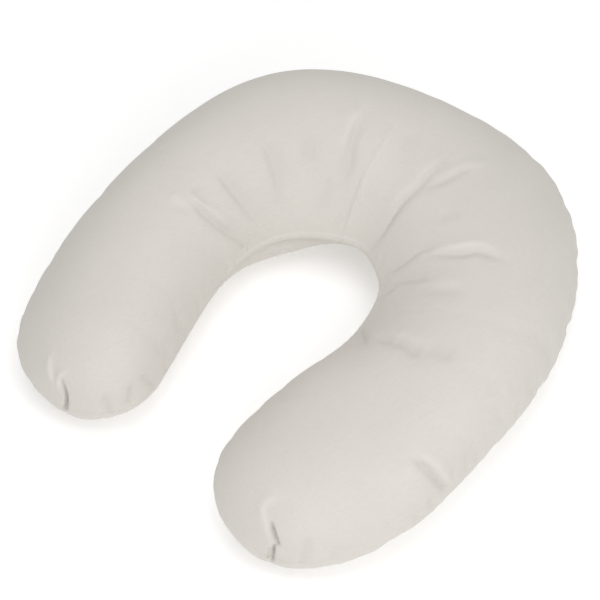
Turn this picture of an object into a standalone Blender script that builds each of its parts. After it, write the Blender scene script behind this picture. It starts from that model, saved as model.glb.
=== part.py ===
"""Travel pillow: a U-shaped neck cushion of plain natural cotton, lying on its back.

A top and a bottom panel are sewn together round the rim and filled, so the pillow is one closed,
filled body. Its middle line runs from the left tip up the left arm, round the back and down the
right arm to the right tip. Across that line it is a plump section, pinched where the rim seam runs.

Metres, +Z up. The pillow lies on Z = 0, the middle of its box is over the origin, and the opening
of the U faces -Y.
"""

import math

import bmesh
import bpy
import numpy as np
from mathutils import Vector
from mathutils.bvhtree import BVHTree

# ---------------------------------------------------------------- driving sizes

# One row per section, from the left tip round the back to the right tip. The first two pairs are
# where the section starts on the outer rim of the U and ends on the inner rim, seen from above;
# outer_z and inner_z are the heights of the seam there, top is the height of the pillow, and
# pinch_out and pinch_in are how much the top panel is drawn down to the seam on either side. lean
# moves the crown off the middle, outwards where it is above zero, as a share of the half width.
# tuck is how much the belly draws in under the seam on the inside of the U.
SECTIONS = (
    # name, outer_x, outer_y, inner_x, inner_y, outer_z, inner_z, top, pinch_out, pinch_in, lean, tuck
    ("left tip",        -0.120, -0.217, -0.012, -0.179,  0.032,  0.033,  0.085,  0.40,  0.00, -0.20,  0.20),
    ("left forearm",    -0.158, -0.149, -0.038, -0.106,  0.037,  0.035,  0.093,  0.30,  0.10, -0.10,  0.20),
    ("left arm",        -0.184, -0.066, -0.061, -0.038,  0.041,  0.038,  0.097,  0.25,  0.15,  0.00,  0.22),
    ("left shoulder",   -0.193,  0.002, -0.064, -0.003,  0.044,  0.041,  0.102,  0.25,  0.35,  0.00, -0.03),
    ("left bend",       -0.181,  0.112, -0.049,  0.031,  0.046,  0.045,  0.106,  0.30,  0.60,  0.06, -0.08),
    ("left back",       -0.079,  0.201, -0.016,  0.056,  0.047,  0.046,  0.103,  0.40,  0.90,  0.08,  0.42),
    ("back",             0.029,  0.226,  0.004,  0.058,  0.047,  0.048,  0.095,  0.60,  0.90, -0.08,  0.42),
    ("right back",       0.108,  0.191,  0.023,  0.050,  0.047,  0.050,  0.098,  0.60,  0.80, -0.05,  0.35),
    ("right bend",       0.174,  0.093,  0.041,  0.030,  0.046,  0.052,  0.101,  0.40,  0.55,  0.18,  0.30),
    ("right shoulder",   0.193, -0.012,  0.051, -0.017,  0.044,  0.049,  0.101,  0.20,  0.25,  0.22,  0.25),
    ("right arm",        0.196, -0.066,  0.047, -0.058,  0.041,  0.045,  0.096,  0.20,  0.00,  0.20,  0.20),
    ("right forearm",    0.190, -0.100,  0.050, -0.132,  0.037,  0.041,  0.091,  0.30,  0.10,  0.18,  0.20),
    ("right tip",        0.187, -0.149,  0.082, -0.196,  0.032,  0.033,  0.084,  0.35,  0.15,  0.10,  0.20),
)

STATIONS = 133          # sections lofted along the middle line, the two tips included
AROUND = 40             # points round each section, starting on the outer rim
FINE_STATIONS = 600     # how finely the table is read before the stations are spaced out
TIP_CROWDING = 0.6      # 0 spaces the sections evenly, 1 crowds them fully towards the tips

# The fullness of a section: 1 is an ellipse, less is squarer.
SIDE_FULLNESS = 0.90
CROWN_FULLNESS = 0.95
BELLY_FULLNESS = 0.98
TIP_ROUNDNESS = 2.3     # 2 closes a tip as a circle does, more as a squarer end
BELLY_PRESS = 1.12      # the belly would hang this much deeper, and the ground flattens it
BELLY_TIP_FULLNESS = 0.7  # less than 1 keeps the belly deep closer to the tips
OUTER_TUCK = 0.2        # how much the belly draws in under the seam on the outside of the U

# The rim seam wanders, because the two panels are gathered a little where they are sewn.
RIM_WAVES = (
    # wave length, depth, start as a share of a turn
    (0.064, 0.0004, 0.15),
    (0.047, 0.0004, 0.55),
    (0.031, 0.0003, 0.80),
)

# One row per fold of the top panel. The path is seen from above; height is over the plain form,
# so a trough is below zero; half_width is where the fold has fallen to a third of its height.
FOLDS = (
    # name,                     path,                                                 half_width, height
    ("left main trough",         ((-0.106, -0.027), (-0.089, -0.024), (-0.067, -0.008)), 0.0055, -0.0044),
    ("left main ridge",          ((-0.110, -0.027), (-0.093, -0.020), (-0.075, -0.009)), 0.0060, 0.0030),
    ("left outer ridge",         ((-0.121, -0.036), (-0.101, -0.031)),                   0.0060, 0.0020),
    ("left outer trough",        ((-0.111, -0.041), (-0.099, -0.033)),                   0.0080, -0.0015),
    ("left shoulder dip",        ((-0.116, -0.017), (-0.093, -0.015)),                   0.0060, -0.0016),
    ("left shoulder trough",     ((-0.110, 0.004), (-0.090, 0.006), (-0.073, 0.008)),    0.0055, -0.0030),
    ("left bend trough",         ((-0.106, 0.050), (-0.086, 0.044), (-0.068, 0.034)),    0.0090, -0.0026),
    ("left back ridge",          ((-0.073, 0.129), (-0.071, 0.115), (-0.065, 0.102)),    0.0080, 0.0034),
    ("left back trough",         ((-0.066, 0.122), (-0.052, 0.095), (-0.041, 0.075)),    0.0075, -0.0038),
    ("back fine ridge",          ((-0.045, 0.143), (-0.034, 0.104), (-0.023, 0.066)),    0.0042, 0.0022),
    ("back fine trough",         ((-0.037, 0.092), (-0.029, 0.076), (-0.023, 0.061)),    0.0045, -0.0024),
    ("back broad dip",           ((-0.029, 0.149), (-0.015, 0.107)),                     0.0080, -0.0014),
    ("middle ridge",             ((0.002, 0.146), (0.001, 0.112), (0.001, 0.075)),       0.0065, 0.0040),
    ("middle trough",            ((0.004, 0.144), (0.006, 0.105), (0.005, 0.064)),       0.0052, -0.0058),
    ("middle branch ridge",      ((0.026, 0.168), (0.019, 0.148), (0.013, 0.126)),       0.0060, 0.0030),
    ("middle branch trough",     ((0.025, 0.157), (0.022, 0.132), (0.015, 0.110)),       0.0060, -0.0028),
    ("right bend crease",        ((0.061, 0.083), (0.048, 0.069), (0.031, 0.048)),       0.0042, -0.0030),
    ("right bend ridge",         ((0.055, 0.073), (0.078, 0.097), (0.101, 0.106)),       0.0070, 0.0046),
    ("right bend trough",        ((0.060, 0.073), (0.084, 0.089), (0.106, 0.104)),       0.0058, -0.0042),
    ("right shoulder crease",    ((0.039, 0.044), (0.057, 0.049), (0.074, 0.056)),       0.0042, -0.0024),
    ("right shoulder ridge",     ((0.072, 0.052), (0.089, 0.059), (0.100, 0.066)),       0.0055, 0.0018),
    ("right shoulder trough",    ((0.068, 0.046), (0.085, 0.051), (0.103, 0.063)),       0.0055, -0.0022),
    ("right arm nick",           ((0.057, -0.001), (0.067, -0.008), (0.077, -0.016)),    0.0042, -0.0044),
    ("right arm ridge",          ((0.086, 0.001), (0.100, 0.003), (0.115, 0.003)),       0.0080, 0.0018),
    ("right arm trough",         ((0.080, -0.007), (0.100, -0.003), (0.122, -0.003)),    0.0075, -0.0032),
    ("right arm outer dip",      ((0.117, 0.008), (0.138, 0.016)),                       0.0085, -0.0020),
    ("right flank ridge",        ((0.174, -0.057), (0.183, -0.050), (0.193, -0.047)),    0.0060, 0.0032),
    ("right flank trough",       ((0.173, -0.063), (0.182, -0.059), (0.193, -0.052)),    0.0055, -0.0050),
    ("left tuck",                ((-0.069, -0.193), (-0.063, -0.196), (-0.065, -0.199)), 0.0036, -0.0052),
    ("left tuck lip",            ((-0.086, -0.186), (-0.083, -0.192), (-0.077, -0.196)), 0.0050, 0.0026),
    ("right tuck",               ((0.130, -0.163), (0.135, -0.166), (0.138, -0.170)),    0.0036, -0.0052),
    ("right tuck lip",           ((0.119, -0.153), (0.121, -0.162), (0.128, -0.167)),    0.0050, 0.0028),
)

PATH_STEP = 0.002       # spacing of the points worked out along a fold's path
FOLD_FADE = 0.35        # share of a fold's path over which it rises and dies away at each end
FOLD_END_SHARE = 0.25   # share of a fold's height that is left at its very ends
HIGH_ABOVE = 1.0        # a height well over the pillow, from which paths are dropped onto it
FOLDS_ABOVE = 0.02      # the lowest point that a fold may move
FOLDS_FACE_UP = -0.5    # the most downward-looking face that a fold may move

COTTON = (0.69, 0.66, 0.61, 1.0)
COTTON_ROUGHNESS = 0.9


# ---------------------------------------------------------------- the middle line and its sections

def spline_through(places, values, at):
    """Read a table of values on the natural cubic curve through it."""
    gap = np.diff(places)
    count = len(places)
    left = np.eye(count)
    right = np.zeros((count, count))
    for i in range(1, count - 1):
        left[i, i - 1:i + 2] = (gap[i - 1], 2 * (gap[i - 1] + gap[i]), gap[i])
        right[i, i - 1:i + 2] = (6 / gap[i - 1], -6 / gap[i - 1] - 6 / gap[i], 6 / gap[i])
    bend = np.linalg.solve(left, right @ values)
    i = np.clip(np.searchsorted(places, at) - 1, 0, count - 2)
    step = gap[i][:, None]
    b = (at[:, None] - places[i][:, None]) / step
    a = 1 - b
    straight = a * values[i] + b * values[i + 1]
    return straight + ((a ** 3 - a) * bend[i] + (b ** 3 - b) * bend[i + 1]) * step ** 2 / 6


def along(points):
    """Distance of each point along the line that they make."""
    steps = np.linalg.norm(np.diff(points, axis=0), axis=1)
    return np.concatenate(([0.0], np.cumsum(steps)))


def midway(rows):
    """The middle of each section, seen from above."""
    return (rows[:, :2] + rows[:, 2:4]) / 2


def station_rows():
    """The section table read at every station, with each station's place along the middle line."""
    table = np.array([row[1:] for row in SECTIONS])
    places = along(midway(table))
    fine = spline_through(places, table, np.linspace(0, places[-1], FINE_STATIONS))
    length = along(midway(fine))
    share = np.linspace(0, 1, STATIONS)
    crowded = 0.5 * (1 - np.cos(np.pi * share))
    place = (TIP_CROWDING * crowded + (1 - TIP_CROWDING) * share) * length[-1]
    columns = [np.interp(place, length, column) for column in fine.T]
    return place, np.stack(columns, axis=1)


def tip_closing(place, half_width):
    """How full each section is, from 0 on a tip to 1 a half width away from it."""
    reach = np.minimum(place / half_width[0], (place[-1] - place) / half_width[-1])
    short = 1 - np.clip(reach, 0, 1)
    return (1 - short ** TIP_ROUNDNESS) ** (1 / TIP_ROUNDNESS)


def rim_wander(rim):
    """How far the rim seam steps in or out at each point of a rim line."""
    turn = 2 * math.pi
    place = along(rim)
    return sum(depth * np.sin(turn * (place / length + start)) for length, depth, start in RIM_WAVES)


def loft_rings():
    """Every section as a ring of points, the outer rim first, then over the crown."""
    place, rows = station_rows()
    middle = midway(rows)
    half = (rows[:, :2] - rows[:, 2:4]) / 2
    half_width = np.linalg.norm(half, axis=1)
    outward = half / half_width[:, None]
    outer_z, inner_z, top, pinch_out, pinch_in, lean, tuck = rows[:, 4:].T
    full = tip_closing(place, half_width)

    reach = half_width * full
    outer = reach + full * rim_wander(middle + outward * reach[:, None])
    inner = reach + full * rim_wander(middle - outward * reach[:, None])

    angle = 2 * np.pi * np.arange(AROUND) / AROUND
    side = np.sign(np.cos(angle)) * np.abs(np.cos(angle)) ** SIDE_FULLNESS
    fullness = CROWN_FULLNESS + np.where(side > 0, pinch_out[:, None], pinch_in[:, None])
    crown = np.clip(np.sin(angle), 0, 1) ** fullness
    shift = np.where(crown > 0, lean[:, None] * (1 - side ** 2), 0)
    belly = np.minimum(BELLY_PRESS * np.clip(-np.sin(angle), 0, 1) ** BELLY_FULLNESS, 1)

    draw_in = np.where(side > 0, OUTER_TUCK, tuck[:, None]) * np.clip(-np.sin(angle), 0, 1)
    across = np.where(side > 0, outer[:, None] * side, inner[:, None] * side) * (1 - draw_in)
    across += reach[:, None] * shift
    level = outer_z[:, None] + (inner_z - outer_z)[:, None] * (1 - side) / 2
    rise = ((top - outer_z) * full + outer_z)[:, None] - level
    drop = level * full[:, None] ** BELLY_TIP_FULLNESS
    rings = np.empty((STATIONS, AROUND, 3))
    rings[..., :2] = middle[:, None] + outward[:, None] * across[..., None]
    rings[..., 2] = level + rise * crown - drop * belly
    return rings


def pillow_mesh(rings):
    """One closed skin: rings joined by quads, each tip drawn to a point on the seam."""
    bm = bmesh.new()
    first = bm.verts.new(rings[0, 0])
    loops = [[bm.verts.new(point) for point in ring] for ring in rings[1:-1]]
    last = bm.verts.new(rings[-1, 0])
    for k in range(AROUND):
        n = (k + 1) % AROUND
        bm.faces.new((first, loops[0][k], loops[0][n]))
        bm.faces.new((last, loops[-1][n], loops[-1][k]))
        for here, there in zip(loops, loops[1:]):
            bm.faces.new((here[k], there[k], there[n], here[n]))
    bmesh.ops.recalc_face_normals(bm, faces=bm.faces)
    bm.normal_update()
    return bm


# ---------------------------------------------------------------- folds

def path_on(skin, path):
    """A fold's path, filled in evenly and dropped onto the top panel."""
    corners = np.array(path)
    places = along(corners)
    count = max(int(places[-1] / PATH_STEP), 4)
    plan = spline_through(places, corners, np.linspace(0, places[-1], count))
    down = Vector((0, 0, -1))
    hits = [skin.ray_cast(Vector((x, y, HIGH_ABOVE)), down)[0] for x, y in plan]
    return np.array([hit for hit in hits if hit is not None])


def fold_lift(points, trail, half_width, height):
    """How far a fold moves each point, fading out at both ends of its trail."""
    gaps = np.linalg.norm(points[:, None] - trail[None], axis=2)
    nearest = gaps.argmin(axis=1)
    share = nearest / (len(trail) - 1)
    ends = np.clip(np.minimum(share, 1 - share) / FOLD_FADE, 0, 1)
    fade = FOLD_END_SHARE + (1 - FOLD_END_SHARE) * ends * ends * (3 - 2 * ends)
    return height * fade * np.exp(-(gaps.min(axis=1) / half_width) ** 2)


def press_folds(bm):
    """Raise the ridges and press the troughs of the top panel along its own normals."""
    skin = BVHTree.FromBMesh(bm)
    upper = [vert for vert in bm.verts if vert.normal.z > FOLDS_FACE_UP and vert.co.z > FOLDS_ABOVE]
    points = np.array([vert.co for vert in upper])
    lift = np.zeros(len(upper))
    for _, path, half_width, height in FOLDS:
        lift += fold_lift(points, path_on(skin, path), half_width, height)
    for vert, rise in zip(upper, lift):
        vert.co += vert.normal * rise


def centre_over_origin(bm):
    """Move the body sideways until the middle of its box is over the origin."""
    points = np.array([vert.co for vert in bm.verts])
    middle = (points.min(axis=0) + points.max(axis=0)) / 2
    bmesh.ops.translate(bm, verts=bm.verts, vec=(-middle[0], -middle[1], 0))


# ---------------------------------------------------------------- the object

def cotton_material():
    """Unbleached plain cotton."""
    material = bpy.data.materials.new("natural_cotton")
    material.use_nodes = True
    shader = material.node_tree.nodes["Principled BSDF"]
    shader.inputs["Base Color"].default_value = COTTON
    shader.inputs["Roughness"].default_value = COTTON_ROUGHNESS
    shader.inputs["Metallic"].default_value = 0.0
    return material


def make_pillow(collection):
    """The filled pillow, as one body."""
    bm = pillow_mesh(loft_rings())
    press_folds(bm)
    centre_over_origin(bm)
    mesh = bpy.data.meshes.new("pillow")
    bm.to_mesh(mesh)
    bm.free()
    mesh.shade_smooth()
    mesh.materials.append(cotton_material())
    collection.objects.link(bpy.data.objects.new("pillow", mesh))


def main():
    for old in list(bpy.data.objects):
        bpy.data.objects.remove(old, do_unlink=True)
    collection = bpy.data.collections.new("travel_pillow")
    bpy.context.scene.collection.children.link(collection)
    make_pillow(collection)


main()
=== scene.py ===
"""Travel pillow of plain natural cotton, lying on its back on a pale studio floor."""

import math

import bmesh
import bpy
import numpy as np
from mathutils import Matrix, Vector
from mathutils.bvhtree import BVHTree


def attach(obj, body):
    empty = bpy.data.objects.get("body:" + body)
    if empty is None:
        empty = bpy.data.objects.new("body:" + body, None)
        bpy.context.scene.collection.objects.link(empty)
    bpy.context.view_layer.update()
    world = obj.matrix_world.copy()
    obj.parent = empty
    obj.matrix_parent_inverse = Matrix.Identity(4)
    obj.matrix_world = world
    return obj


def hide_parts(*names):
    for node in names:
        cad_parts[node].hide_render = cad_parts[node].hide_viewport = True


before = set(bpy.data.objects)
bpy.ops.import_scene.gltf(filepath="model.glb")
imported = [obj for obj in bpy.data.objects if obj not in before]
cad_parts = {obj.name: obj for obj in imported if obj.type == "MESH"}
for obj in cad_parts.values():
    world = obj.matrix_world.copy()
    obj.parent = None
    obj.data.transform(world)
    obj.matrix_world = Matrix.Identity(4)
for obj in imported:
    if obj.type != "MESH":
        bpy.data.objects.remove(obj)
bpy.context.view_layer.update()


# ---------------------------------------------------------------- camera
# A long lens looks down at the face of the pillow from the side of its right arm, with the
# opening of the U towards the lower left.

CAMERA_AZIMUTH = math.radians(46)
CAMERA_ELEVATION = math.radians(58)
CAMERA_DISTANCE = 1.5
LOOKS_AT = Vector((0.0143, -0.0168, 0.0))

camera_back = Vector((
    math.sin(CAMERA_AZIMUTH) * math.cos(CAMERA_ELEVATION),
    -math.cos(CAMERA_AZIMUTH) * math.cos(CAMERA_ELEVATION),
    math.sin(CAMERA_ELEVATION),
))
camera_right = Vector((math.cos(CAMERA_AZIMUTH), math.sin(CAMERA_AZIMUTH), 0.0))
camera_up = camera_back.cross(camera_right)

camera_data = bpy.data.cameras.new("camera")
camera_data.sensor_width = 36.0
camera_data.lens = 112.5
camera_data.shift_x = -0.0312
camera_data.shift_y = 0.0735
camera = bpy.data.objects.new("camera", camera_data)
camera.location = LOOKS_AT + camera_back * CAMERA_DISTANCE
camera.rotation_euler = Matrix((camera_right, camera_up, camera_back)).transposed().to_euler()
bpy.context.collection.objects.link(camera)
bpy.context.scene.camera = camera


# ---------------------------------------------------------------- studio
# A seamless white floor, lit a little from below, in an even white room. Two big soft lights
# stand above and below the camera and a weaker one to its right, so the cloth is bright and its
# folds show only softly.

FLOOR_REACH = 6.0         # from the middle of the floor to its sides
LIGHT_SIDE = 0.9

floor_mesh = bpy.data.meshes.new("studio_floor")
bm = bmesh.new()
bmesh.ops.create_grid(bm, x_segments=1, y_segments=1, size=FLOOR_REACH)
bm.to_mesh(floor_mesh)
bm.free()
floor = bpy.data.objects.new("studio_floor", floor_mesh)
bpy.context.collection.objects.link(floor)
floor_paint = bpy.data.materials.new("studio_white")
floor_paint.use_nodes = True
floor_shader = floor_paint.node_tree.nodes["Principled BSDF"]
floor_shader.inputs["Base Color"].default_value = (0.95, 0.95, 0.95, 1.0)
floor_shader.inputs["Roughness"].default_value = 0.9
floor_shader.inputs["Specular IOR Level"].default_value = 0.0
floor_shader.inputs["Emission Color"].default_value = (1.0, 1.0, 1.0, 1.0)
floor_shader.inputs["Emission Strength"].default_value = 0.22
floor_mesh.materials.append(floor_paint)

room = bpy.data.worlds.new("white_room")
room.use_nodes = True
room.node_tree.nodes["Background"].inputs["Color"].default_value = (1.0, 1.0, 1.0, 1.0)
room.node_tree.nodes["Background"].inputs["Strength"].default_value = 0.49
bpy.context.scene.world = room

SOFTBOXES = (
    # name,       place,                                     watts
    ("high_light", camera_back * 1.2 + camera_up * 0.7,      6.4),
    ("low_light",  camera_back * 1.3 - camera_up * 0.7,      4.2),
    ("side_light", camera_back * 1.2 + camera_right * 0.7,   2.3),
)
for name, place, watts in SOFTBOXES:
    light_data = bpy.data.lights.new(name, "AREA")
    light_data.shape = "SQUARE"
    light_data.size = LIGHT_SIDE
    light_data.energy = watts
    light = bpy.data.objects.new(name, light_data)
    light.location = place
    light.rotation_euler = place.to_track_quat("Z", "Y").to_euler()
    bpy.context.collection.objects.link(light)
bpy.context.scene.view_settings.view_transform = "Standard"


# ---------------------------------------------------------------- pillow
# Two U-shaped panels of fine plain-woven cotton, sewn together round the rim, turned and filled
# with loose fibre. The seam allowance lies inside and lifts the cloth a little along the bend.

# One row per section, from the left tip round the back to the right tip. The first two pairs are
# where the section starts on the outer rim of the U and ends on the inner rim, seen from above;
# outer_z and inner_z are the heights of the seam there, top is the height of the pillow, and
# pinch_out and pinch_in are how much the top panel is drawn down to the seam on either side. lean
# moves the crown off the middle, outwards where it is above zero, as a share of the half width.
# tuck is how much the belly draws in under the seam on the inside of the U.
PILLOW_SECTIONS = (
    # name, outer_x, outer_y, inner_x, inner_y, outer_z, inner_z, top, pinch_out, pinch_in, lean, tuck
    ("left tip",        -0.120, -0.217, -0.012, -0.179,  0.032,  0.033,  0.085,  0.40,  0.00, -0.20,  0.20),
    ("left forearm",    -0.158, -0.149, -0.038, -0.106,  0.037,  0.035,  0.093,  0.30,  0.10, -0.10,  0.20),
    ("left arm",        -0.184, -0.066, -0.061, -0.038,  0.041,  0.038,  0.097,  0.25,  0.15,  0.00,  0.22),
    ("left shoulder",   -0.193,  0.002, -0.064, -0.003,  0.044,  0.041,  0.102,  0.25,  0.35,  0.00, -0.03),
    ("left bend",       -0.181,  0.112, -0.049,  0.031,  0.046,  0.045,  0.106,  0.30,  0.60,  0.06, -0.08),
    ("left back",       -0.079,  0.201, -0.016,  0.056,  0.047,  0.046,  0.103,  0.40,  0.90,  0.08,  0.42),
    ("back",             0.029,  0.226,  0.004,  0.058,  0.047,  0.048,  0.095,  0.60,  0.90, -0.08,  0.42),
    ("right back",       0.108,  0.191,  0.023,  0.050,  0.047,  0.050,  0.098,  0.60,  0.80, -0.05,  0.35),
    ("right bend",       0.174,  0.093,  0.041,  0.030,  0.046,  0.052,  0.101,  0.40,  0.55,  0.18,  0.30),
    ("right shoulder",   0.193, -0.012,  0.051, -0.017,  0.044,  0.049,  0.101,  0.20,  0.25,  0.22,  0.25),
    ("right arm",        0.196, -0.066,  0.047, -0.058,  0.041,  0.045,  0.096,  0.20,  0.00,  0.20,  0.20),
    ("right forearm",    0.190, -0.100,  0.050, -0.132,  0.037,  0.041,  0.091,  0.30,  0.10,  0.18,  0.20),
    ("right tip",        0.187, -0.149,  0.082, -0.196,  0.032,  0.033,  0.084,  0.35,  0.15,  0.10,  0.20),
)
PLAN_SHIFT = (-0.0007, -0.0118)   # brings the middle of the pillow's box over the origin
FINE_STATIONS = 600       # how finely the table is read before the sections are spaced out
MIDDLE_STATIONS = 350     # sections along the arms and the bend
TIP_STATIONS = 60         # sections over each rounded tip
TOP_POINTS = 168          # points over the top panel, from rim to rim
BELLY_POINTS = 42         # points under the pillow, from rim to rim
SEAM_CROWDING = 0.5       # 0 spaces the points of a panel evenly, more crowds them at the seam

# The fullness of a section: 1 is an ellipse, less is squarer.
SIDE_FULLNESS = 0.90
CROWN_FULLNESS = 0.95
BELLY_FULLNESS = 0.98
TIP_ROUNDNESS = 2.3       # 2 closes a tip as a circle does, more as a squarer end
BELLY_PRESS = 1.12        # the belly would hang this much deeper, and the ground flattens it
BELLY_TIP_FULLNESS = 0.7  # less than 1 keeps the belly deep closer to the tips
OUTER_TUCK = 0.2          # how much the belly draws in under the seam on the outside of the U


def curve_through(places, values, at):
    """Read a table of values on the natural cubic curve through it."""
    gap = np.diff(places)
    count = len(places)
    left = np.eye(count)
    right = np.zeros((count, count))
    for i in range(1, count - 1):
        left[i, i - 1:i + 2] = (gap[i - 1], 2 * (gap[i - 1] + gap[i]), gap[i])
        right[i, i - 1:i + 2] = (6 / gap[i - 1], -6 / gap[i - 1] - 6 / gap[i], 6 / gap[i])
    bend = np.linalg.solve(left, right @ values)
    i = np.clip(np.searchsorted(places, at) - 1, 0, count - 2)
    step = gap[i][:, None]
    b = (at[:, None] - places[i][:, None]) / step
    a = 1 - b
    straight = a * values[i] + b * values[i + 1]
    return straight + ((a ** 3 - a) * bend[i] + (b ** 3 - b) * bend[i + 1]) * step ** 2 / 6


def distance_along(points):
    """Distance of each point along the line that they make."""
    steps = np.linalg.norm(np.diff(points, axis=0), axis=1)
    return np.concatenate(([0.0], np.cumsum(steps)))


def section_places(length, first_width, last_width, middle_count, tip_count):
    """Places of the sections: even steps over each rounded tip, then evenly between the tips."""
    turn = np.linspace(0, np.pi / 2, tip_count, endpoint=False)
    tip = 1 - np.cos(turn) ** (2 / TIP_ROUNDNESS)
    middle = np.linspace(first_width, length - last_width, middle_count)
    return np.concatenate((tip * first_width, middle, length - tip[::-1] * last_width))


def section_angles(top_count, belly_count):
    """Angles round a section, from the outer rim over the crown and back under the belly."""
    parts = []
    for start, count in ((0, top_count), (np.pi, belly_count)):
        share = np.linspace(0, 1, count, endpoint=False)
        crowded = share - SEAM_CROWDING * np.sin(2 * np.pi * share) / (2 * np.pi)
        parts.append(start + np.pi * crowded)
    return np.concatenate(parts)


def pillow_rings(middle_count, tip_count, angle):
    """The plain filled form, as rings of points from the left tip round to the right tip."""
    table = np.array([row[1:] for row in PILLOW_SECTIONS])
    table[:, 0:4:2] += PLAN_SHIFT[0]
    table[:, 1:4:2] += PLAN_SHIFT[1]
    places = distance_along((table[:, :2] + table[:, 2:4]) / 2)
    fine = curve_through(places, table, np.linspace(0, places[-1], FINE_STATIONS))
    length = distance_along((fine[:, :2] + fine[:, 2:4]) / 2)
    tip_widths = [np.linalg.norm(row[:2] - row[2:4]) / 2 for row in (table[0], table[-1])]
    place = section_places(length[-1], *tip_widths, middle_count, tip_count)
    rows = np.stack([np.interp(place, length, column) for column in fine.T], axis=1)

    middle = (rows[:, :2] + rows[:, 2:4]) / 2
    half = (rows[:, :2] - rows[:, 2:4]) / 2
    outer_z, inner_z, top, pinch_out, pinch_in, lean, tuck = rows[:, 4:].T
    reach = np.minimum(place / tip_widths[0], (place[-1] - place) / tip_widths[1])
    full = (1 - (1 - np.clip(reach, 0, 1)) ** TIP_ROUNDNESS) ** (1 / TIP_ROUNDNESS)

    side = np.sign(np.cos(angle)) * np.abs(np.cos(angle)) ** SIDE_FULLNESS
    fullness = CROWN_FULLNESS + np.where(side > 0, pinch_out[:, None], pinch_in[:, None])
    crown = np.clip(np.sin(angle), 0, 1) ** fullness
    shift = np.where(crown > 0, lean[:, None] * (1 - side ** 2), 0)
    under = np.clip(-np.sin(angle), 0, 1)
    belly = np.minimum(BELLY_PRESS * under ** BELLY_FULLNESS, 1)
    across = side * (1 - np.where(side > 0, OUTER_TUCK, tuck[:, None]) * under) + shift

    level = outer_z[:, None] + (inner_z - outer_z)[:, None] * (1 - side) / 2
    rise = ((top - outer_z) * full + outer_z)[:, None] - level
    drop = level * full[:, None] ** BELLY_TIP_FULLNESS
    rings = np.empty((len(place), len(angle), 3))
    rings[..., :2] = middle[:, None] + half[:, None] * (full[:, None] * across)[..., None]
    rings[..., 2] = level + rise * crown - drop * belly
    return rings


def skin_of(rings):
    """Quads over the rings, and a fan to a point on the seam at each tip."""
    stations, around = rings.shape[:2]
    points = [rings[0, 0]] + list(rings[1:-1].reshape(-1, 3)) + [rings[-1, 0]]
    last = len(points) - 1
    faces = []
    for k in range(around):
        n = (k + 1) % around
        faces.append((0, 1 + n, 1 + k))
        end = 1 + (stations - 3) * around
        faces.append((last, end + k, end + n))
        for i in range(stations - 3):
            row = 1 + i * around
            faces.append((row + k, row + n, row + around + n, row + around + k))
    return points, faces


around = section_angles(TOP_POINTS, BELLY_POINTS)
rings = pillow_rings(MIDDLE_STATIONS, TIP_STATIONS, around)
points, faces = skin_of(rings)
pillow_mesh = bpy.data.meshes.new("pillow_cloth")
pillow_mesh.from_pydata([tuple(point) for point in points], [], faces)
pillow_mesh.update()
pillow_mesh.shade_smooth()
pillow = bpy.data.objects.new("pillow_cloth", pillow_mesh)
bpy.context.collection.objects.link(pillow)
plain = np.array(points)
normals = np.empty(len(plain) * 3)    # before the pillow swells, because folds rise along these
pillow_mesh.vertices.foreach_get("normal", normals)
normals = normals.reshape(-1, 3)

# Swelling. A coarser copy of the cover is held at the seam and under the pillow, given a little
# more cloth than the form needs and blown up from inside, which puckers it along the rim.
SWELL_SECTIONS = (175, 30)    # along the middle, over each tip
SWELL_POINTS = (56, 20)       # over the top panel, under the pillow
SWELL_FRAMES = 24
HELD_UNDER = 0.012            # cloth lower than this is held, because it rests on the ground
SWELL_LIMIT = 0.003           # furthest that the filling moves the cloth
RIM_SWELL = 0.45              # share of the swelling that is kept near the rim
CROWN_SWELL = 0.2             # share that is kept on the crown
LAPPED_POINTS = 6             # points read twice, so that a ring's curve closes smoothly


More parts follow.
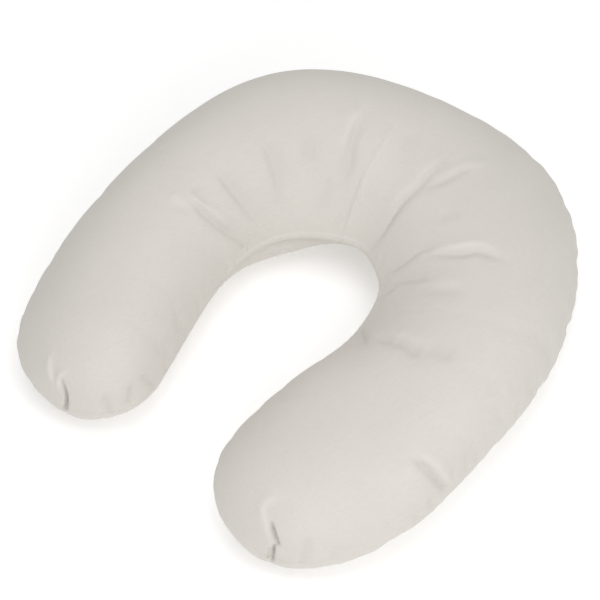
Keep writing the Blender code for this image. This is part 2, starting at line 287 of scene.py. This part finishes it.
def swollen_rings():
    """How far the filling moves each point of the coarse cover, ring by ring."""
    turn = section_angles(*SWELL_POINTS)
    coarse = pillow_rings(*SWELL_SECTIONS, turn)
    spots, quads = skin_of(coarse)
    mesh = bpy.data.meshes.new("swelling")
    mesh.from_pydata([tuple(spot) for spot in spots], [], quads)
    cover = bpy.data.objects.new("swelling", mesh)
    bpy.context.collection.objects.link(cover)
    at_rest = np.array(spots)
    ring_count, point_count = coarse.shape[:2]
    place = np.concatenate(([0], np.tile(np.arange(point_count), ring_count - 2), [0]))
    is_held = (place == 0) | (place == SWELL_POINTS[0]) | (at_rest[:, 2] < HELD_UNDER)
    held = cover.vertex_groups.new(name="held")
    held.add([int(i) for i in np.flatnonzero(is_held)], 1.0, "REPLACE")

    cloth = cover.modifiers.new("cloth", "CLOTH")
    cloth.settings.quality = 6
    cloth.settings.mass = 0.3
    cloth.settings.tension_stiffness = 15
    cloth.settings.compression_stiffness = 15
    cloth.settings.shear_stiffness = 5
    cloth.settings.bending_stiffness = 0.05
    cloth.settings.use_pressure = True
    cloth.settings.uniform_pressure_force = 25
    cloth.settings.shrink_min = -0.02
    cloth.settings.vertex_group_mass = "held"
    cloth.settings.pin_stiffness = 5
    cloth.settings.effector_weights.gravity = 0
    cloth.collision_settings.use_collision = False
    cloth.collision_settings.use_self_collision = False
    cloth.point_cache.frame_start = 1
    cloth.point_cache.frame_end = SWELL_FRAMES
    for step in range(1, SWELL_FRAMES + 1):
        bpy.context.scene.frame_set(step)
    swollen = cover.evaluated_get(bpy.context.evaluated_depsgraph_get()).to_mesh()
    moved = np.empty(len(at_rest) * 3)
    swollen.vertices.foreach_get("co", moved)
    move = moved.reshape(-1, 3) - at_rest
    bpy.data.objects.remove(cover, do_unlink=True)
    bpy.data.meshes.remove(mesh)
    bpy.context.scene.frame_set(1)

    size = np.linalg.norm(move, axis=1)[:, None]
    move *= SWELL_LIMIT * np.tanh(size / SWELL_LIMIT) / np.maximum(size, 1e-9)
    inner = move[1:-1].reshape(ring_count - 2, point_count, 3)
    still = np.zeros((1, point_count, 3))
    return np.concatenate((still, inner, still)), turn


def on_fine_cover(moves, turn):
    """The coarse rings' moves, read on smooth curves at every point of the fine cover."""
    coarse_steps = np.linspace(0, 1, len(moves))
    middle_count, tip_count = SWELL_SECTIONS
    fine_ends = (0, TIP_STATIONS, TIP_STATIONS + MIDDLE_STATIONS - 1, len(rings) - 1)
    coarse_ends = (0, tip_count, tip_count + middle_count - 1, len(moves) - 1)
    fine_steps = np.interp(np.arange(len(rings)), fine_ends, coarse_ends) / (len(moves) - 1)
    flat = curve_through(coarse_steps, moves.reshape(len(moves), -1), fine_steps)
    flat = flat.reshape(len(rings), len(turn), 3)
    lap = LAPPED_POINTS
    wrapped = np.concatenate((turn[-lap:] - 2 * np.pi, turn, turn[:lap] + 2 * np.pi))
    rolled = np.concatenate((flat[:, -lap:], flat, flat[:, :lap]), axis=1).transpose(1, 0, 2)
    across = curve_through(wrapped, rolled.reshape(len(wrapped), -1), around)
    return across.reshape(len(around), len(rings), 3).transpose(1, 0, 2)


swelling = on_fine_cover(*swollen_rings())
rim_share = np.abs(np.cos(around)) ** 2
swelling *= (CROWN_SWELL + (RIM_SWELL - CROWN_SWELL) * rim_share)[:, None]
moves = np.concatenate((swelling[0, :1], swelling[1:-1].reshape(-1, 3), swelling[-1, :1]))
moves[plain[:, 2] < HELD_UNDER / 2] = 0
plain += moves

# Folds. A path is seen from above and dropped onto the top panel, or is given with its height
# where it runs down the steep side near the rim or the round end of an arm. height is over the
# plain form, so a trough is below zero. left and right are the widths of its two walls, looking
# along the path. edge is 2 for a soft fold and 1 for a sharp one. start and end are the shares of
# the height left at the ends.
FOLDS = (
    # name, path, height, left, right, edge, start, end
    ("left main", ((-0.108, -0.039), (-0.091, -0.036), (-0.078, -0.029), (-0.068, -0.019)),
     -0.0036, 0.0070, 0.0028, 1.2, 0.2, 0.6),
    ("left main ridge", ((-0.112, -0.038), (-0.097, -0.032), (-0.083, -0.027), (-0.076, -0.021)),
     0.0022, 0.0050, 0.0035, 1.6, 0.2, 0.2),
    ("left outer ridge", ((-0.122, -0.048), (-0.112, -0.045), (-0.102, -0.043)),
     0.0017, 0.0050, 0.0030, 1.6, 0.2, 0.2),
    ("left outer dip", ((-0.111, -0.053), (-0.100, -0.045)), -0.0010, 0.0060, 0.0040, 2.0, 0.2, 0.2),
    ("left upper dip", ((-0.117, -0.029), (-0.103, -0.030), (-0.094, -0.027)),
     -0.0019, 0.0060, 0.0030, 1.5, 0.2, 0.2),
    ("left shoulder", ((-0.111, -0.008), (-0.098, -0.007), (-0.085, -0.006), (-0.074, -0.004)),
     -0.0030, 0.0070, 0.0030, 1.3, 0.2, 0.4),
    ("left bend", ((-0.107, 0.038), (-0.093, 0.034), (-0.080, 0.029), (-0.069, 0.022)),
     -0.0026, 0.0090, 0.0040, 1.8, 0.2, 0.3),
    ("left bend ridge", ((-0.078, 0.034), (-0.066, 0.027)), 0.0012, 0.0050, 0.0040, 2.0, 0.2, 0.2),
    ("left back faint", ((-0.087, 0.066), (-0.070, 0.053)), -0.0014, 0.0080, 0.0050, 2.0, 0.2, 0.2),
    ("back faint", ((-0.054, 0.062), (-0.048, 0.051), (-0.042, 0.041)),
     -0.0011, 0.0050, 0.0040, 2.0, 0.2, 0.2),
    ("back ridge", ((-0.076, 0.121), (-0.071, 0.104), (-0.064, 0.090), (-0.058, 0.078)),
     0.0027, 0.0040, 0.0070, 1.8, 0.2, 0.2),
    ("back trough", ((-0.068, 0.112), (-0.057, 0.088), (-0.048, 0.077), (-0.042, 0.063)),
     -0.0028, 0.0040, 0.0060, 1.5, 0.3, 0.2),
    ("back pleat", ((-0.046, 0.131), (-0.040, 0.112), (-0.036, 0.096), (-0.033, 0.083),
     (-0.030, 0.073), (-0.027, 0.062), (-0.024, 0.054), (-0.021, 0.045)),
     0.0021, 0.0011, 0.0036, 1.3, 0.3, 0.8),
    ("back pleat foot", ((-0.049, 0.131), (-0.043, 0.112), (-0.039, 0.096), (-0.036, 0.083),
     (-0.033, 0.073), (-0.030, 0.062), (-0.027, 0.054), (-0.024, 0.045)),
     -0.0003, 0.0018, 0.0018, 1.4, 0.1, 0.8),
    ("back pleat side", ((-0.038, 0.080), (-0.031, 0.067), (-0.026, 0.054), (-0.022, 0.045)),
     -0.0007, 0.0020, 0.0050, 1.3, 0.2, 1.0),
    ("back dip", ((-0.030, 0.137), (-0.023, 0.114), (-0.016, 0.095)),
     -0.0012, 0.0080, 0.0080, 2.0, 0.2, 0.2),
    ("middle", ((0.003, 0.132), (0.004, 0.114), (0.005, 0.100), (0.004, 0.085), (0.004, 0.074),
     (0.005, 0.063), (0.004, 0.050)), -0.0032, 0.0030, 0.0090, 1.1, 0.6, 0.3),
    ("middle ridge", ((0.001, 0.136), (0.000, 0.114), (0.001, 0.097), (-0.002, 0.084), (0.000, 0.070)),
     0.0024, 0.0032, 0.0070, 1.8, 0.3, 0.2),
    ("branch ridge", ((0.025, 0.157), (0.018, 0.141), (0.015, 0.127), (0.012, 0.115)),
     0.0017, 0.0040, 0.0045, 1.8, 0.2, 0.2),
    ("branch trough", ((0.021, 0.149), (0.019, 0.129), (0.016, 0.115), (0.011, 0.102)),
     -0.0022, 0.0028, 0.0050, 1.4, 0.2, 0.2),
    ("bend crease", ((0.058, 0.071), (0.052, 0.066), (0.046, 0.061), (0.041, 0.051), (0.034, 0.042),
     (0.028, 0.037)), -0.0018, 0.0030, 0.0070, 1.1, 0.3, 0.1),
    ("bend ridge", ((0.051, 0.061), (0.061, 0.071), (0.071, 0.082), (0.079, 0.090), (0.087, 0.093),
     (0.098, 0.095)), 0.0022, 0.0070, 0.0026, 1.5, 0.3, 0.1),
    ("bend trough", ((0.054, 0.062), (0.065, 0.068), (0.077, 0.076), (0.084, 0.085), (0.092, 0.088),
     (0.102, 0.094)), -0.0027, 0.0035, 0.0028, 1.3, 0.3, 0.2),
    ("shoulder crease", ((0.040, 0.033), (0.050, 0.036), (0.061, 0.041), (0.073, 0.045)),
     -0.0017, 0.0060, 0.0024, 1.1, 0.3, 0.2),
    ("shoulder ridge", ((0.069, 0.044), (0.088, 0.052), (0.097, 0.058)),
     0.0007, 0.0070, 0.0035, 1.8, 0.2, 0.1),
    ("shoulder trough", ((0.066, 0.036), (0.079, 0.039), (0.093, 0.046), (0.101, 0.053)),
     -0.0010, 0.0030, 0.0070, 1.5, 0.2, 0.1),
    ("shoulder nick", ((0.043, 0.022), (0.047, 0.028), (0.050, 0.032)),
     -0.0009, 0.0040, 0.0030, 1.3, 0.6, 0.2),
    ("bend faint", ((0.037, 0.086), (0.047, 0.104)), -0.0007, 0.0060, 0.0050, 2.0, 0.2, 0.2),
    ("arm nick", ((0.055, -0.012), (0.067, -0.021), (0.076, -0.028)),
     -0.0023, 0.0030, 0.0050, 1.4, 1.0, 0.2),
    ("arm trough", ((0.075, -0.017), (0.084, -0.018), (0.093, -0.017)),
     -0.0016, 0.0050, 0.0040, 1.6, 0.3, 0.4),
    ("arm far trough", ((0.088, -0.015), (0.099, -0.014), (0.110, -0.014), (0.120, -0.018)),
     -0.0022, 0.0060, 0.0045, 1.7, 0.4, 0.2),
    ("arm ridge", ((0.085, -0.008), (0.099, -0.006), (0.114, -0.005)),
     0.0011, 0.0070, 0.0050, 2.0, 0.3, 0.3),
    ("arm outer dip", ((0.114, -0.005), (0.126, -0.001), (0.137, 0.004)),
     -0.0016, 0.0080, 0.0080, 2.0, 0.2, 0.2),
    ("flank trough", ((0.172, -0.074), (0.181, -0.069), (0.190, -0.065), (0.193, -0.061)),
     -0.0040, 0.0036, 0.0032, 1.6, 0.2, 0.9),
    ("flank ridge", ((0.171, -0.069), (0.182, -0.063), (0.188, -0.060), (0.192, -0.058)),
     0.0028, 0.0060, 0.0045, 2.0, 0.2, 0.6),
    ("flank faint", ((0.171, -0.080), (0.179, -0.080)), 0.0008, 0.0050, 0.0050, 2.0, 0.2, 0.2),
    ("rim pucker 1", ((0.183, 0.026, 0.067), (0.186, 0.023, 0.057)),
     -0.0008, 0.0030, 0.0030, 2.0, 0.3, 1.0),
    ("rim pucker 2", ((0.180, 0.043, 0.066), (0.183, 0.045, 0.053)),
     -0.0008, 0.0030, 0.0030, 2.0, 0.3, 1.0),
    ("rim pucker 3", ((0.186, -0.035, 0.073), (0.193, -0.037, 0.053)),
     -0.0009, 0.0030, 0.0030, 2.0, 0.3, 1.0),
    ("rim pucker 4", ((0.189, -0.051, 0.069), (0.193, -0.053, 0.059)),
     -0.0008, 0.0030, 0.0030, 2.0, 0.3, 1.0),
    ("rim pucker 5", ((0.192, -0.076, 0.061), (0.194, -0.076, 0.051)),
     -0.0010, 0.0030, 0.0030, 2.0, 0.3, 1.0),
    ("rim pucker 6", ((0.191, -0.089, 0.057), (0.193, -0.091, 0.047)),
     -0.0009, 0.0030, 0.0030, 2.0, 0.3, 1.0),
    ("left tuck", ((-0.070, -0.205, 0.060), (-0.0645, -0.207, 0.049), (-0.066, -0.211, 0.028)),
     -0.0060, 0.0014, 0.0014, 1.8, 0.3, 1.0),
    ("left tuck lip", ((-0.087, -0.198, 0.072), (-0.084, -0.204, 0.064), (-0.076, -0.207, 0.053)),
     0.0018, 0.0022, 0.0045, 1.6, 0.2, 0.6),
    ("left tuck arm", ((-0.070, -0.198, 0.069), (-0.073, -0.202, 0.063), (-0.071, -0.208, 0.051)),
     0.0014, 0.0022, 0.0026, 1.8, 0.2, 0.6),
    ("left tip pucker 1", ((-0.032, -0.168, 0.058), (-0.029, -0.174, 0.042)),
     -0.0018, 0.0040, 0.0030, 1.8, 0.3, 1.0),
    ("left tip pucker 2", ((-0.041, -0.190, 0.054), (-0.036, -0.190, 0.036)),
     -0.0022, 0.0040, 0.0030, 1.8, 0.4, 1.0),
    ("left tip pucker 3", ((-0.032, -0.159, 0.061), (-0.028, -0.150, 0.039)),
     -0.0017, 0.0040, 0.0030, 1.8, 0.3, 1.0),
    ("right tuck", ((0.129, -0.175, 0.066), (0.133, -0.177, 0.061), (0.139, -0.178, 0.052)),
     -0.0066, 0.0014, 0.0014, 1.8, 0.3, 0.6),
    ("right lower tuck", ((0.1375, -0.181, 0.049), (0.137, -0.184, 0.026)),
     -0.0050, 0.0011, 0.0011, 1.8, 0.6, 1.0),
    ("right tuck lip", ((0.125, -0.160, 0.080), (0.119, -0.165, 0.077), (0.118, -0.172, 0.071),
     (0.123, -0.176, 0.066), (0.131, -0.180, 0.058)), 0.0017, 0.0024, 0.0050, 1.6, 0.2, 0.6),
    ("right tip pucker 1", ((0.154, -0.162, 0.066), (0.155, -0.168, 0.050), (0.156, -0.171, 0.034)),
     -0.0015, 0.0040, 0.0030, 1.8, 0.1, 0.8),
    ("right tip pucker 2", ((0.169, -0.150, 0.054), (0.171, -0.152, 0.042)),
     -0.0008, 0.0040, 0.0040, 1.8, 0.3, 0.8),
    ("right tip pucker 3", ((0.174, -0.144, 0.053), (0.178, -0.143, 0.040)),
     -0.0006, 0.0040, 0.0040, 1.8, 0.3, 0.8),
)
FOLD_STEP = 0.001         # spacing of the points worked out along a fold's path
FOLD_POINTS = 6           # fewest points on a path, however short
FOLD_FADE = 0.3           # share of a path over which a fold rises and dies away at each end
FOLD_REACH = 3.5          # how many widths away a fold is still worked out
PAINTED_SHADING_RISE = 0.0016        # a crest this high gets most of its painted light, a trough this deep most of its painted shade

# The seam. The allowance inside lifts a band of the top panel beside it, most of all round the
# left side of the bend, and the thread draws the cloth in along the joint.
BAND_WIDTH = 0.0058
BAND_EDGE = 0.0009        # distance over which the band's edge falls away
BAND_HEIGHT = 0.0009
BAND_SPAN = ("left arm", "back")   # the sections between which the band is highest
BAND_ROUNDNESS = 0.7      # less than 1 keeps the band high over more of that span
BAND_ELSEWHERE = 0.25     # share of the band's height on the rest of the rim
SEAM_DRAW = 0.0009        # how deep the thread draws the cloth in
SEAM_DRAW_WIDTH = 0.0012
UNDER_TUCK = 0.0026       # how far the lower panel is drawn back just under the seam
UNDER_TUCK_WIDTH = 0.0045
UNDER_TUCK_PLACE = 0.6    # where it is deepest, in its own widths from the seam
PUCKER_WAVES = (
    # wave length along the rim, share, start as a share of a turn, how far in from the seam it runs
    (0.0290, 0.45, 0.10, 0.0110),
    (0.0210, 0.25, 0.45, 0.0110),
    (0.0610, 0.60, 0.70, 0.0400),
)
PUCKER_DEPTH = 0.0014
PUCKER_SHARPNESS = 1.5    # more than 1 narrows the puckers and flattens the cloth between them
PUCKER_EDGE = 1.5         # how suddenly a pucker dies away from the seam, 2 being a bell curve
TIP_PUCKER_SPAN = 0.050   # how far from an arm's end the inner rim puckers too


def seam_rise():
    """How far the seam lifts or draws in each point of the plain form."""
    steps = np.linalg.norm(np.roll(rings, -1, axis=1) - rings, axis=2)
    walked = np.concatenate((np.zeros((len(rings), 1)), np.cumsum(steps, axis=1)), axis=1)
    turned = walked[:, :-1]
    half_way = walked[:, TOP_POINTS, None]
    from_outer = np.minimum(turned, walked[:, -1:] - turned)
    from_inner = np.abs(turned - half_way)
    is_top = np.arange(rings.shape[1]) < TOP_POINTS
    is_inner = from_inner < from_outer
    gap = np.where(is_inner, from_inner, from_outer)

    names = [row[0] for row in PILLOW_SECTIONS]
    spots = np.array([row[3:5] for row in PILLOW_SECTIONS]) + PLAN_SHIFT
    inner_rim = rings[:, TOP_POINTS, :2]
    first, last = (np.linalg.norm(inner_rim - spots[names.index(name)], axis=1).argmin()
                   for name in BAND_SPAN)
    share = np.clip((np.arange(len(rings)) - first) / (last - first), 0, 1)
    strength = BAND_ELSEWHERE + (1 - BAND_ELSEWHERE) * np.sin(np.pi * share) ** BAND_ROUNDNESS
    strength = np.where(is_inner, strength[:, None], BAND_ELSEWHERE)

    outer_walk = distance_along(rings[:, 0])
    inner_walk = distance_along(rings[:, TOP_POINTS])
    to_tip = np.minimum(inner_walk, inner_walk[-1] - inner_walk)
    walk = np.where(is_inner, -inner_walk[:, None], outer_walk[:, None])
    pucker = np.zeros_like(gap)
    for length, part, start, reach in PUCKER_WAVES:
        wave = np.cos(2 * np.pi * (walk / length + start))
        pucker += part * wave * np.exp(-(gap / reach) ** PUCKER_EDGE)
    pucker = PUCKER_DEPTH * np.clip(pucker, 0, 1) ** PUCKER_SHARPNESS
    pucker *= np.where(is_inner, np.clip(2 - 2 * to_tip / TIP_PUCKER_SPAN, 0, 1)[:, None], 1)

    band = BAND_HEIGHT * strength / (1 + np.exp((gap - BAND_WIDTH) / (BAND_EDGE / 3)))
    draw = SEAM_DRAW * np.exp(-(gap / SEAM_DRAW_WIDTH) ** 2)
    from_deepest = gap - UNDER_TUCK_PLACE * UNDER_TUCK_WIDTH
    tuck = UNDER_TUCK * strength * np.exp(-(from_deepest / UNDER_TUCK_WIDTH) ** 2)
    rise = np.where(is_top, band, -tuck * np.clip(gap / SEAM_DRAW_WIDTH, 0, 1)) - draw - pucker
    return np.concatenate((rise[0, :1], rise[1:-1].ravel(), rise[-1, :1]))


def path_on(skin, path):
    """A fold's path, filled in evenly and laid on the plain form."""
    corners = np.array(path)
    places = distance_along(corners)
    count = max(int(places[-1] / FOLD_STEP), FOLD_POINTS)
    places_at = np.linspace(0, places[-1], count)
    line = curve_through(places, corners, places_at) if len(corners) > 2 else (
        corners[0] + (corners[1] - corners[0]) * (places_at / places[-1])[:, None])
    if corners.shape[1] == 3:
        laid = [skin.find_nearest(Vector(spot))[0] for spot in line]
    else:
        laid = [skin.ray_cast(Vector((x, y, 1.0)), Vector((0, 0, -1)))[0] for x, y in line]
    return np.array([spot for spot in laid if spot is not None])


def fold_rise(points, normals, path, height, left, right, edge, start, end):
    """How far a fold lifts each point."""
    rise = np.zeros(len(points))
    margin = FOLD_REACH * max(left, right)
    near = np.all((points > path.min(axis=0) - margin) & (points < path.max(axis=0) + margin), axis=1)
    spots = points[near]
    offsets = spots[:, None] - path[None]
    gaps = np.linalg.norm(offsets, axis=2)
    nearest = gaps.argmin(axis=1)
    rows = np.arange(len(spots))
    heading = np.gradient(path, axis=0)[nearest]
    sideways = np.cross(normals[near], heading)
    is_left = np.einsum("ij,ij->i", sideways, offsets[rows, nearest]) > 0
    width = np.where(is_left, left, right)
    share = nearest / (len(path) - 1)
    come = np.clip(share / FOLD_FADE, 0, 1)
    go = np.clip((1 - share) / FOLD_FADE, 0, 1)
    fade = start + (1 - start) * come * come * (3 - 2 * come)
    fade = fade * (end + (1 - end) * go * go * (3 - 2 * go))
    rise[near] = height * fade * np.exp(-(gaps[rows, nearest] / width) ** edge)
    return rise


skin = BVHTree.FromPolygons([tuple(point) for point in plain], faces)
creased = np.zeros(len(plain))
for _, path, *sizes in FOLDS:
    creased += fold_rise(plain, normals, path_on(skin, path), *sizes)
formed = plain + normals * (seam_rise() + creased)[:, None]
pillow_mesh.vertices.foreach_set("co", formed.ravel())
# Painted light and shade of the folds: near 1 on the crests, painted lighter, and near -1 in the troughs,
# painted darker.
fold_shading_attribute = pillow_mesh.attributes.new("painted_fold_shading", "FLOAT", "POINT")
fold_shading_attribute.data.foreach_set("value", np.tanh(creased / PAINTED_SHADING_RISE))
pillow_mesh.update()

# The cloth. Fine warp and weft threads of uneven thickness show as short streaks that cross,
# with now and then a slub, and the whole is a warm grey that drifts a little. Painted light and
# shade follow the folds: the crests are painted a little lighter and their bottoms a little darker.
COTTON_LIGHT = (0.730, 0.698, 0.650, 1.0)
COTTON_DARK = (0.648, 0.617, 0.571, 1.0)
WARP_ANGLE = math.radians(75)
STREAKS = (
    # turn from the warp, length, width, detail
    (0.0,               0.0090, 0.0010, 2.0),   # the warp's uneven threads
    (math.radians(90),  0.0060, 0.0009, 2.0),   # the weft's
    (0.3,               0.0500, 0.0400, 1.0),   # slow drift of the colour
    (0.0,               0.0300, 0.0009, 0.0),   # where a slub may lie
)
WARP_SHADE = 0.65         # how much of the shade each of them makes
WEFT_SHADE = 0.55
DRIFT_SHADE = 0.40
SLUB_SHADE = 1.50
# painted light on the fold crests and painted shade in their bottoms
PAINTED_FOLD_SHADING = 0.40
SHADE_DROP = 0.3          # brings the middle of the shade back between dark and light
SLUB_START = 0.68         # the noise over this is a slub
THREAD_PITCH = 0.00042
BAND_AT_SCALE_ONE = math.pi / 10      # the wave texture's bands are this far apart at scale 1
WEAVE_RELIEF = 0.12       # heights in the bump, as shares of its distance
WARP_RELIEF = 0.35
WEFT_RELIEF = 0.30

cotton = bpy.data.materials.new("natural_cotton")
cotton.use_nodes = True
nodes = cotton.node_tree.nodes
links = cotton.node_tree.links
cotton_shader = nodes["Principled BSDF"]
cotton_shader.inputs["Roughness"].default_value = 0.9
cotton_shader.inputs["Specular IOR Level"].default_value = 0.15
cotton_shader.inputs["Sheen Weight"].default_value = 0.08
cotton_shader.inputs["Sheen Roughness"].default_value = 0.6
cloth_place = nodes.new("ShaderNodeTexCoord")


def mixed(kind, first, second):
    """One value worked out from two, either of which may be a plain number."""
    node = nodes.new("ShaderNodeMath")
    node.operation = kind
    for socket, value in zip(node.inputs, (first, second)):
        if isinstance(value, (int, float)):
            socket.default_value = value
        else:
            links.new(value, socket)
    return node.outputs["Value"]


def streaks(turn, length, width, detail):
    """Noise drawn out along one set of threads, from 0 to 1."""
    turned = nodes.new("ShaderNodeMapping")
    turned.vector_type = "TEXTURE"
    turned.inputs["Rotation"].default_value = (0, 0, WARP_ANGLE + turn)
    turned.inputs["Scale"].default_value = (length, width, width * 2)
    noise = nodes.new("ShaderNodeTexNoise")
    noise.inputs["Scale"].default_value = 1.0
    noise.inputs["Detail"].default_value = detail
    links.new(cloth_place.outputs["Object"], turned.inputs["Vector"])
    links.new(turned.outputs["Vector"], noise.inputs["Vector"])
    return noise.outputs["Fac"]


def threads(turn):
    """Round threads side by side, from 0 between them to 1 on top."""
    turned = nodes.new("ShaderNodeMapping")
    turned.vector_type = "TEXTURE"
    turned.inputs["Rotation"].default_value = (0, 0, WARP_ANGLE + turn)
    wave = nodes.new("ShaderNodeTexWave")
    wave.bands_direction = "Y"
    wave.inputs["Scale"].default_value = BAND_AT_SCALE_ONE / THREAD_PITCH
    wave.inputs["Distortion"].default_value = 0.6
    wave.inputs["Detail"].default_value = 1.0
    links.new(cloth_place.outputs["Object"], turned.inputs["Vector"])
    links.new(turned.outputs["Vector"], wave.inputs["Vector"])
    return wave.outputs["Fac"]


warp, weft, drift, slubs = (streaks(*row) for row in STREAKS)
is_slub = mixed("MAXIMUM", mixed("SUBTRACT", slubs, SLUB_START), 0.0)
shade = mixed("ADD", mixed("MULTIPLY", warp, WARP_SHADE), mixed("MULTIPLY", weft, WEFT_SHADE))
shade = mixed("ADD", shade, mixed("MULTIPLY", drift, DRIFT_SHADE))
shade = mixed("SUBTRACT", mixed("SUBTRACT", shade, SHADE_DROP), mixed("MULTIPLY", is_slub, SLUB_SHADE))
# Painted light and shade of the folds, read from the points and added to the cloth's tone.
crest = nodes.new("ShaderNodeAttribute")
crest.attribute_name = "painted_fold_shading"
shade = mixed("ADD", shade, mixed("MULTIPLY", crest.outputs["Fac"], PAINTED_FOLD_SHADING))
colours = nodes.new("ShaderNodeValToRGB")
colours.color_ramp.elements[0].color = COTTON_DARK
colours.color_ramp.elements[1].color = COTTON_LIGHT
links.new(shade, colours.inputs["Fac"])
links.new(colours.outputs["Color"], cotton_shader.inputs["Base Color"])

weave = mixed("ADD", threads(0.0), threads(math.radians(90)))
weave = mixed("MULTIPLY", weave, WEAVE_RELIEF)
slack = mixed("ADD", mixed("MULTIPLY", warp, WARP_RELIEF), mixed("MULTIPLY", weft, WEFT_RELIEF))
relief = mixed("ADD", weave, slack)
bump = nodes.new("ShaderNodeBump")
bump.inputs["Strength"].default_value = 0.35
bump.inputs["Distance"].default_value = 0.0004
links.new(relief, bump.inputs["Height"])
links.new(bump.outputs["Normal"], cotton_shader.inputs["Normal"])
pillow_mesh.materials.append(cotton)
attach(pillow, "root")
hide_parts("pillow")


# ---------------------------------------------------------------- closing stitches
# The last of the opening on the right arm's tip is whipped shut by hand with one strand of cotton
# thread. Each stitch goes over the edge of the lower tuck and back into the cloth.

STITCH_COUNT = 6
STITCH_TOP = Vector((0.1375, -0.1830, 0.0450))
STITCH_END = Vector((0.1368, -0.1850, 0.0300))
STITCH_SPAN = Vector((-0.0040, 0.0008, -0.0012))
STITCH_RISE = 0.0010      # how far the middle of a stitch rises over its sunk ends
THREAD_RADIUS = 0.00032
THREAD_SIDES = 8
THREAD_POINTS = 9

sewn_cloth = BVHTree.FromPolygons([tuple(spot) for spot in formed], faces)
bm = bmesh.new()
for number in range(STITCH_COUNT):
    start = STITCH_TOP.lerp(STITCH_END, number / (STITCH_COUNT - 1))
    line = []
    for step in range(THREAD_POINTS):
        share = step / (THREAD_POINTS - 1)
        spot, outward, _, _ = sewn_cloth.find_nearest(start + STITCH_SPAN * share)
        line.append(spot + outward * (STITCH_RISE * math.sin(math.pi * share) - THREAD_RADIUS))
    circles = []
    for step, spot in enumerate(line):
        along = (line[min(step + 1, THREAD_POINTS - 1)] - line[max(step - 1, 0)]).normalized()
        sideways = along.orthogonal().normalized()
        upward = along.cross(sideways)
        turns = [2 * math.pi * side / THREAD_SIDES for side in range(THREAD_SIDES)]
        circles.append([
            bm.verts.new(spot + (sideways * math.cos(turn) + upward * math.sin(turn)) * THREAD_RADIUS)
            for turn in turns
        ])
    for one, other in zip(circles, circles[1:]):
        for side in range(THREAD_SIDES):
            beside = (side + 1) % THREAD_SIDES
            bm.faces.new((one[side], one[beside], other[beside], other[side]))
    bm.faces.new(circles[0][::-1])
    bm.faces.new(circles[-1])
bmesh.ops.recalc_face_normals(bm, faces=bm.faces)
stitch_mesh = bpy.data.meshes.new("closing_stitches")
bm.to_mesh(stitch_mesh)
bm.free()
stitch_mesh.shade_smooth()
stitches = bpy.data.objects.new("closing_stitches", stitch_mesh)
bpy.context.collection.objects.link(stitches)
sewing_thread = bpy.data.materials.new("sewing_thread")
sewing_thread.use_nodes = True
thread_shader = sewing_thread.node_tree.nodes["Principled BSDF"]
thread_shader.inputs["Base Color"].default_value = (0.80, 0.76, 0.70, 1.0)
thread_shader.inputs["Roughness"].default_value = 0.7
thread_shader.inputs["Specular IOR Level"].default_value = 0.3
thread_shader.inputs["Sheen Weight"].default_value = 0.2
stitch_mesh.materials.append(sewing_thread)
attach(stitches, "root")
